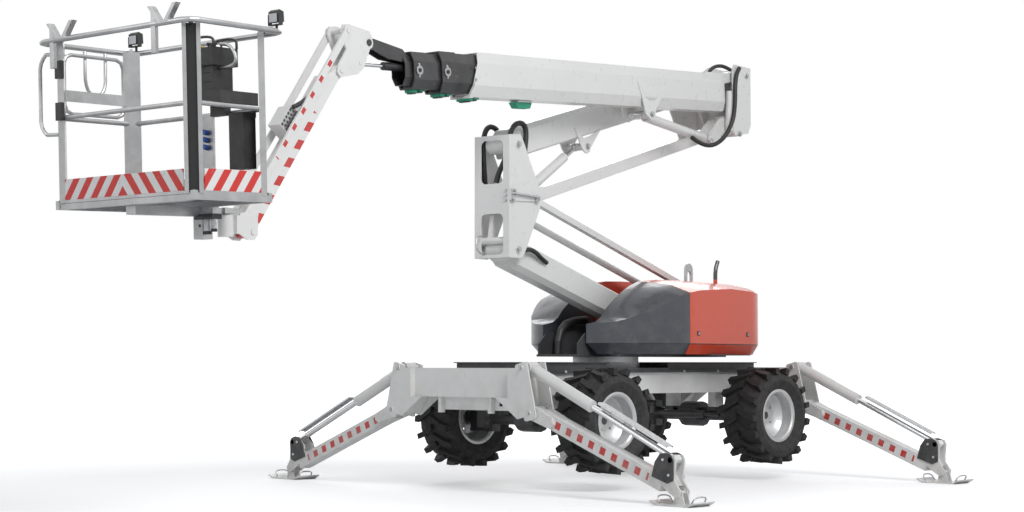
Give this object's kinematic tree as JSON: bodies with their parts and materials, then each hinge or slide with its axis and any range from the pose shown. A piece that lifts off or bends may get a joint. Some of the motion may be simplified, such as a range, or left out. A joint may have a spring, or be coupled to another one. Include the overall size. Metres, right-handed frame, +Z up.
{
  "type": "articulating boom lift",
  "caption": "Articulating boom lift on wheels and outriggers, with folding arms, a telescopic boom beside them and a jib with a basket.",
  "frame": {"origin": "floor level under the four pads, at the middle of the whole machine in plan", "axes": "+X forward towards the basket end, +Y the machine's left, +Z up"},
  "size_m": [8.2363, 5.088, 3.985],
  "materials": {
    "white_paint": "satin",
    "grey_covers": "gloss",
    "red_covers": "gloss",
    "dark_covers": "satin",
    "black_paint": "satin",
    "chrome": "polished",
    "bare_steel": "brushed",
    "basket_alloy": "brushed",
    "wheel_silver": "satin",
    "tyre_rubber": "matte",
    "engine_iron": "rough",
    "black_plastic": "matte"
  },
  "bodies": {
    "chassis": {"chassis_frame": "white_paint", "chassis_covers": "dark_covers", "axles": "black_paint", "slew_ring": "bare_steel"},
    "knuckle_front_left": {"steering_knuckle_front_left": "black_paint"},
    "wheel_front_left": {"rim_front_left": "wheel_silver", "tyre_front_left": "tyre_rubber"},
    "knuckle_front_right": {"steering_knuckle_front_right": "black_paint"},
    "wheel_front_right": {"rim_front_right": "wheel_silver", "tyre_front_right": "tyre_rubber"},
    "knuckle_rear_left": {"steering_knuckle_rear_left": "black_paint"},
    "wheel_rear_left": {"rim_rear_left": "wheel_silver", "tyre_rear_left": "tyre_rubber"},
    "knuckle_rear_right": {"steering_knuckle_rear_right": "black_paint"},
    "wheel_rear_right": {"rim_rear_right": "wheel_silver", "tyre_rear_right": "tyre_rubber"},
    "leg_front_left": {"outrigger_leg_front_left": "white_paint"},
    "barrel_front_left": {"outrigger_barrel_front_left": "white_paint"},
    "rod_front_left": {"outrigger_rod_front_left": "chrome"},
    "leg_front_right": {"outrigger_leg_front_right": "white_paint"},
    "barrel_front_right": {"outrigger_barrel_front_right": "white_paint"},
    "rod_front_right": {"outrigger_rod_front_right": "chrome"},
    "leg_rear_left": {"outrigger_leg_rear_left": "white_paint"},
    "barrel_rear_left": {"outrigger_barrel_rear_left": "white_paint"},
    "rod_rear_left": {"outrigger_rod_rear_left": "chrome"},
    "leg_rear_right": {"outrigger_leg_rear_right": "white_paint"},
    "barrel_rear_right": {"outrigger_barrel_rear_right": "white_paint"},
    "rod_rear_right": {"outrigger_rod_rear_right": "chrome"},
    "turret": {"turret_frame": "dark_covers", "side_covers": "grey_covers", "rear_hood": "red_covers", "engine": "engine_iron", "conduit": "black_plastic"},
    "lower_arm": {"lower_arm": "white_paint"},
    "lower_tie": {"lower_tie": "white_paint"},
    "lower_tube": {"lower_tube": "white_paint"},
    "knuckle": {"knuckle_frame": "white_paint"},
    "lift_barrel": {"lift_barrel": "white_paint"},
    "lift_rod": {"lift_rod": "chrome"},
    "upper_arm": {"upper_arm": "white_paint"},
    "upper_tie": {"upper_tie": "white_paint"},
    "end_frame": {"end_frame": "white_paint"},
    "boom_outer": {"boom_outer": "white_paint"},
    "boom_middle": {"boom_middle": "black_paint"},
    "boom_second": {"boom_second": "black_paint"},
    "boom_inner": {"boom_inner": "black_paint", "level_barrel": "black_paint"},
    "boom_barrel": {"boom_barrel": "white_paint"},
    "boom_rod": {"boom_rod": "chrome"},
    "level_rod": {"level_rod": "chrome"},
    "boom_head": {"boom_head": "white_paint"},
    "jib": {"jib": "white_paint"},
    "jib_links": {"jib_links": "white_paint"},
    "basket_bracket": {"basket_bracket": "white_paint"},
    "basket": {"basket_beam": "basket_alloy", "basket_frame": "basket_alloy", "kick_plates": "basket_alloy", "control_console": "black_plastic"}
  },
  "joints": [
    {"name": "steer_front_left", "type": "hinge", "parent": "chassis", "child": "knuckle_front_left", "pos_m": [-1.006, 0.68, 0.591], "axis": [0, 0, 1], "range_deg": [-22, 22]},
    {"name": "spin_front_left", "type": "hinge", "parent": "knuckle_front_left", "child": "wheel_front_left", "pos_m": [-1.006, 0.836, 0.591], "axis": [0, 1, 0], "continuous": true},
    {"name": "steer_front_right", "type": "hinge", "parent": "chassis", "child": "knuckle_front_right", "pos_m": [-1.006, -0.68, 0.591], "axis": [0, 0, 1], "range_deg": [-22, 22]},
    {"name": "spin_front_right", "type": "hinge", "parent": "knuckle_front_right", "child": "wheel_front_right", "pos_m": [-1.006, -0.836, 0.591], "axis": [0, 1, 0], "continuous": true},
    {"name": "steer_rear_left", "type": "hinge", "parent": "chassis", "child": "knuckle_rear_left", "pos_m": [-3.267, 0.68, 0.591], "axis": [0, 0, 1], "range_deg": [-22, 22]},
    {"name": "spin_rear_left", "type": "hinge", "parent": "knuckle_rear_left", "child": "wheel_rear_left", "pos_m": [-3.267, 0.836, 0.591], "axis": [0, 1, 0], "continuous": true},
    {"name": "steer_rear_right", "type": "hinge", "parent": "chassis", "child": "knuckle_rear_right", "pos_m": [-3.267, -0.68, 0.591], "axis": [0, 0, 1], "range_deg": [-22, 22]},
    {"name": "spin_rear_right", "type": "hinge", "parent": "knuckle_rear_right", "child": "wheel_rear_right", "pos_m": [-3.267, -0.836, 0.591], "axis": [0, 1, 0], "continuous": true},
    {"name": "outrigger_front_left", "type": "hinge", "parent": "chassis", "child": "leg_front_left", "pos_m": [-0.221, 0.836, 0.674], "axis": [1, 0, 0], "range_deg": [0, 95]},
    {"name": "outrigger_barrel_front_left_swing", "type": "hinge", "parent": "chassis", "child": "barrel_front_left", "pos_m": [-0.221, 0.746, 1.039], "axis": [1, 0, 0], "range_deg": [-0.5, 99.97]},
    {"name": "outrigger_rod_front_left_slide", "type": "slide", "parent": "barrel_front_left", "child": "rod_front_left", "axis": [0, 0.9101, -0.4144], "range_m": [-0.547, 0.003]},
    {"name": "outrigger_front_right", "type": "hinge", "parent": "chassis", "child": "leg_front_right", "pos_m": [-0.221, -0.836, 0.674], "axis": [-1, 0, 0], "range_deg": [0, 95]},
    {"name": "outrigger_barrel_front_right_swing", "type": "hinge", "parent": "chassis", "child": "barrel_front_right", "pos_m": [-0.221, -0.746, 1.039], "axis": [-1, 0, 0], "range_deg": [-0.5, 99.97]},
    {"name": "outrigger_rod_front_right_slide", "type": "slide", "parent": "barrel_front_right", "child": "rod_front_right", "axis": [0, -0.9101, -0.4144], "range_m": [-0.547, 0.003]},
    {"name": "outrigger_rear_left", "type": "hinge", "parent": "chassis", "child": "leg_rear_left", "pos_m": [-3.943, 0.836, 0.674], "axis": [1, 0, 0], "range_deg": [0, 95]},
    {"name": "outrigger_barrel_rear_left_swing", "type": "hinge", "parent": "chassis", "child": "barrel_rear_left", "pos_m": [-3.943, 0.746, 1.039], "axis": [1, 0, 0], "range_deg": [-0.5, 99.97]},
    {"name": "outrigger_rod_rear_left_slide", "type": "slide", "parent": "barrel_rear_left", "child": "rod_rear_left", "axis": [0, 0.9101, -0.4144], "range_m": [-0.547, 0.003]},
    {"name": "outrigger_rear_right", "type": "hinge", "parent": "chassis", "child": "leg_rear_right", "pos_m": [-3.943, -0.836, 0.674], "axis": [-1, 0, 0], "range_deg": [0, 95]},
    {"name": "outrigger_barrel_rear_right_swing", "type": "hinge", "parent": "chassis", "child": "barrel_rear_right", "pos_m": [-3.943, -0.746, 1.039], "axis": [-1, 0, 0], "range_deg": [-0.5, 99.97]},
    {"name": "outrigger_rod_rear_right_slide", "type": "slide", "parent": "barrel_rear_right", "child": "rod_rear_right", "axis": [0, -0.9101, -0.4144], "range_m": [-0.547, 0.003]},
    {"name": "slew", "type": "hinge", "parent": "chassis", "child": "turret", "pos_m": [-1.981, 0, 1.11], "axis": [0, 0, 1], "continuous": true},
    {"name": "lower_arm_lift", "type": "hinge", "parent": "turret", "child": "lower_arm", "pos_m": [-3.35019, -0.18026, 1.228], "axis": [0.1305, -0.9914, 0], "range_deg": [-12, 52]},
    {"name": "lower_tie_swing", "type": "hinge", "parent": "turret", "child": "lower_tie", "pos_m": [-3.6355, -0.08165, 1.674], "axis": [0.1305, -0.9914, 0], "range_deg": [-13, 53]},
    {"name": "lower_tube_swing", "type": "hinge", "parent": "turret", "child": "lower_tube", "pos_m": [-3.60613, -0.30473, 1.576], "axis": [0.1305, -0.9914, 0], "range_deg": [-13, 53]},
    {"name": "knuckle_level", "type": "hinge", "parent": "lower_arm", "child": "knuckle", "pos_m": [-0.40361, 0.20767, 2.035], "axis": [0.1305, -0.9914, 0], "range_deg": [-53, 13]},
    {"name": "upper_arm_lift", "type": "hinge", "parent": "knuckle", "child": "upper_arm", "pos_m": [-0.40659, 0.20728, 2.927], "axis": [0.1305, -0.9914, 0], "range_deg": [-53, 13]},
    {"name": "upper_tie_swing", "type": "hinge", "parent": "knuckle", "child": "upper_tie", "pos_m": [-0.67913, 0.23191, 2.481], "axis": [0.1305, -0.9914, 0], "range_deg": [-53, 13]},
    {"name": "end_frame_level", "type": "hinge", "parent": "upper_arm", "child": "end_frame", "pos_m": [-3.31251, -0.1753, 3.756], "axis": [0.1305, -0.9914, 0], "range_deg": [-13, 53]},
    {"name": "lift_barrel_swing", "type": "hinge", "parent": "knuckle", "child": "lift_barrel", "pos_m": [-0.66739, 0.14268, 2.481], "axis": [0.1305, -0.9914, 0], "range_deg": [-44.34, 10.62]},
    {"name": "lift_rod_slide", "type": "slide", "parent": "lift_barrel", "child": "lift_rod", "axis": [-0.843, -0.111, 0.5263], "range_m": [-0.1, 0.424]},
    {"name": "boom_lift", "type": "hinge", "parent": "end_frame", "child": "boom_outer", "pos_m": [-3.76041, 0.10867, 3.9], "axis": [0.1305, -0.9914, 0], "range_deg": [0, 70]},
    {"name": "boom_barrel_swing", "type": "hinge", "parent": "end_frame", "child": "boom_barrel", "pos_m": [-3.2518, 0.17563, 3.236], "axis": [0.1305, -0.9914, 0], "range_deg": [-0.5, 69.38]},
    {"name": "boom_rod_slide", "type": "slide", "parent": "boom_barrel", "child": "boom_rod", "axis": [0.9874, 0.13, 0.0898], "range_m": [-0.003, 0.965]},
    {"name": "telescope_1", "type": "slide", "parent": "boom_outer", "child": "boom_middle", "axis": [0.9883, 0.1301, -0.0802], "range_m": [0, 2.2]},
    {"name": "telescope_2", "type": "slide", "parent": "boom_middle", "child": "boom_second", "axis": [0.9883, 0.1301, -0.0802], "range_m": [-0.002, 2.202]},
    {"name": "telescope_3", "type": "slide", "parent": "boom_second", "child": "boom_inner", "axis": [0.9883, 0.1301, -0.0802], "range_m": [-0.002, 2.202]},
    {"name": "head_level", "type": "hinge", "parent": "boom_inner", "child": "boom_head", "pos_m": [1.68758, 0.82591, 3.465], "axis": [0.1305, -0.9914, 0], "range_deg": [-71, 1]},
    {"name": "level_rod_slide", "type": "slide", "parent": "boom_inner", "child": "level_rod", "axis": [0.9882, 0.1301, -0.0803], "range_m": [-0.221, 0.003]},
    {"name": "jib_lift", "type": "hinge", "parent": "boom_head", "child": "jib", "pos_m": [1.98105, 0.86455, 3.218], "axis": [0.1305, -0.9914, 0], "range_deg": [-14, 110]},
    {"name": "jib_links_swing", "type": "hinge", "parent": "boom_head", "child": "jib_links", "pos_m": [1.93941, 0.85907, 3.519], "axis": [0.1305, -0.9914, 0], "range_deg": [-15, 111]},
    {"name": "basket_level", "type": "hinge", "parent": "jib", "child": "basket_bracket", "pos_m": [2.86839, 0.98137, 1.981], "axis": [0.1305, -0.9914, 0], "range_deg": [-111, 15]},
    {"name": "basket_turn", "type": "hinge", "parent": "basket_bracket", "child": "basket", "pos_m": [3.06121, 1.00675, 2.1687], "axis": [0.0415, 0.0055, 0.9991], "range_deg": [-90, 90]}
  ],
  "couplings": [
    {"joint": "steer_front_right", "follows": "steer_front_left", "ratio": 1},
    {"joint": "steer_rear_right", "follows": "steer_rear_left", "ratio": 1},
    {"joint": "outrigger_barrel_front_left_swing", "follows": "outrigger_front_left", "ratio": 1.0471},
    {"joint": "outrigger_rod_front_left_slide", "follows": "outrigger_front_left", "m_per_rad": -0.328},
    {"joint": "outrigger_barrel_front_right_swing", "follows": "outrigger_front_right", "ratio": 1.0471},
    {"joint": "outrigger_rod_front_right_slide", "follows": "outrigger_front_right", "m_per_rad": -0.328},
    {"joint": "outrigger_barrel_rear_left_swing", "follows": "outrigger_rear_left", "ratio": 1.0471},
    {"joint": "outrigger_rod_rear_left_slide", "follows": "outrigger_rear_left", "m_per_rad": -0.328},
    {"joint": "outrigger_barrel_rear_right_swing", "follows": "outrigger_rear_right", "ratio": 1.0471},
    {"joint": "outrigger_rod_rear_right_slide", "follows": "outrigger_rear_right", "m_per_rad": -0.328},
    {"joint": "lower_tie_swing", "follows": "lower_arm_lift", "ratio": 1},
    {"joint": "lower_tube_swing", "follows": "lower_arm_lift", "ratio": 1},
    {"joint": "knuckle_level", "follows": "lower_arm_lift", "ratio": -1},
    {"joint": "upper_arm_lift", "follows": "lower_arm_lift", "ratio": -1},
    {"joint": "upper_tie_swing", "follows": "lower_arm_lift", "ratio": -1},
    {"joint": "end_frame_level", "follows": "lower_arm_lift", "ratio": 1},
    {"joint": "lift_barrel_swing", "follows": "lower_arm_lift", "ratio": -0.843},
    {"joint": "lift_rod_slide", "follows": "lower_arm_lift", "m_per_rad": 0.4642},
    {"joint": "boom_barrel_swing", "follows": "boom_lift", "ratio": 0.984},
    {"joint": "boom_rod_slide", "follows": "boom_lift", "m_per_rad": 0.7875},
    {"joint": "telescope_2", "follows": "telescope_1", "ratio": 1},
    {"joint": "telescope_3", "follows": "telescope_1", "ratio": 1},
    {"joint": "head_level", "follows": "boom_lift", "ratio": -1},
    {"joint": "level_rod_slide", "follows": "boom_lift", "m_per_rad": -0.1788},
    {"joint": "jib_links_swing", "follows": "jib_lift", "ratio": 1},
    {"joint": "basket_level", "follows": "jib_lift", "ratio": -1}
  ]
}
